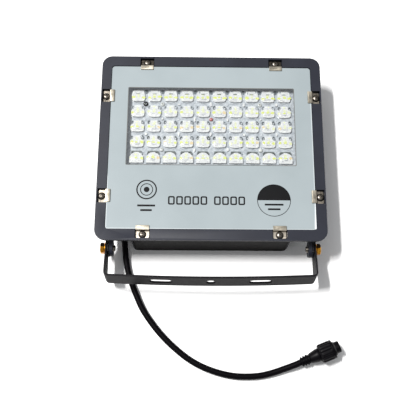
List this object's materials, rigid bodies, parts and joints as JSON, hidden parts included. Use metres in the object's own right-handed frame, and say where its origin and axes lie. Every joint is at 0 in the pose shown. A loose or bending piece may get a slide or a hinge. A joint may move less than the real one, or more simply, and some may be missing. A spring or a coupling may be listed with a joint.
{
  "type": "solar flood light",
  "caption": "Flat rectangular flood light head with clipped front glass, tilting U bracket and a short lead ending in a round waterproof connector for a solar panel",
  "frame": {"origin": "Middle of the footprint of the lamp and its bracket, on the surface that the lamp's back rests on; the lead and its connector are left out of that footprint", "axes": "+X to the lamp's right seen from the front, +Y towards the edge opposite the bracket, +Z out of the glass"},
  "size_m": [0.2342, 0.3169, 0.0444],
  "materials": {
    "paint": "die-cast aluminium with a dark slate powder coat, satin, fine orange peel",
    "bracket_paint": "dark grey powder coat, satin",
    "clear_glass": "tempered flat glass with a pale blue-grey printed border",
    "lens": "clear moulded lens plastic",
    "spring_steel": "nickel-plated spring steel",
    "screw_steel": "nickel-plated, polished",
    "yellow_zinc": "yellow passivated zinc plate",
    "black_plastic": "black moulded nylon",
    "black_rubber": "black rubber, satin",
    "silicone": "translucent white silicone",
    "white_board": "white solder mask with emitters",
    "green_board": "green circuit board with parts",
    "cell_wrap": "shrink-sleeved cell",
    "red_lens": "red indicator",
    "brass_pin": "tinned brass contact",
    "wire": "insulated lead"
  },
  "bodies": {
    "lamp_head": {"housing": "paint", "glass_gasket": "silicone", "front_glass": "clear_glass", "glass_clip_1": "spring_steel", "glass_clip_2": "spring_steel", "glass_clip_3": "spring_steel", "glass_clip_4": "spring_steel", "glass_clip_5": "spring_steel", "glass_clip_6": "spring_steel", "glass_clip_7": "spring_steel", "glass_clip_8": "spring_steel", "battery_clamp": "spring_steel", "clip_screw_1": "screw_steel", "clip_screw_2": "screw_steel", "clip_screw_3": "screw_steel", "clip_screw_4": "screw_steel", "clip_screw_5": "screw_steel", "clip_screw_6": "screw_steel", "clip_screw_7": "screw_steel", "clip_screw_8": "screw_steel", "board_screw_1": "screw_steel", "board_screw_2": "screw_steel", "board_screw_3": "screw_steel", "board_screw_4": "screw_steel", "clamp_screw": "screw_steel", "controller_screw_1": "screw_steel", "controller_screw_2": "screw_steel", "led_board": "white_board", "lens_array": "lens", "indicator_led": "red_lens", "remote_receiver": "black_plastic", "battery_cell_1": "cell_wrap", "battery_cell_2": "cell_wrap", "controller_board": "green_board", "lead_panel": "black_rubber", "cable": "black_rubber", "connector_boot": "black_rubber", "connector_o_ring": "black_rubber", "gland_seal": "black_rubber", "lead_battery": "wire", "lead_led": "wire", "friction_disc_left": "black_plastic", "friction_disc_right": "black_plastic", "gland_body": "black_plastic", "gland_nut": "black_plastic", "connector_body": "black_plastic", "spring_washer_left": "yellow_zinc", "spring_washer_right": "yellow_zinc", "pivot_bolt_left": "yellow_zinc", "pivot_bolt_right": "yellow_zinc", "contact_pin_1": "brass_pin", "contact_pin_2": "brass_pin"},
    "bracket": {"bracket": "bracket_paint"},
    "coupling_nut": {"coupling_nut": "black_plastic"}
  },
  "joints": [
    {"name": "bracket_tilt", "type": "hinge", "parent": "lamp_head", "child": "bracket", "pos_m": [0, -0.08044, 0.0215], "axis": [-1, 0, 0], "range_deg": [-126, 41], "deforming": ["cable"]},
    {"name": "coupling_nut_spin", "type": "hinge", "parent": "lamp_head", "child": "coupling_nut", "pos_m": [0.1099, -0.17674, 0.01005], "axis": [0.9221, 0.3726, 0.1045], "continuous": true}
  ]
}
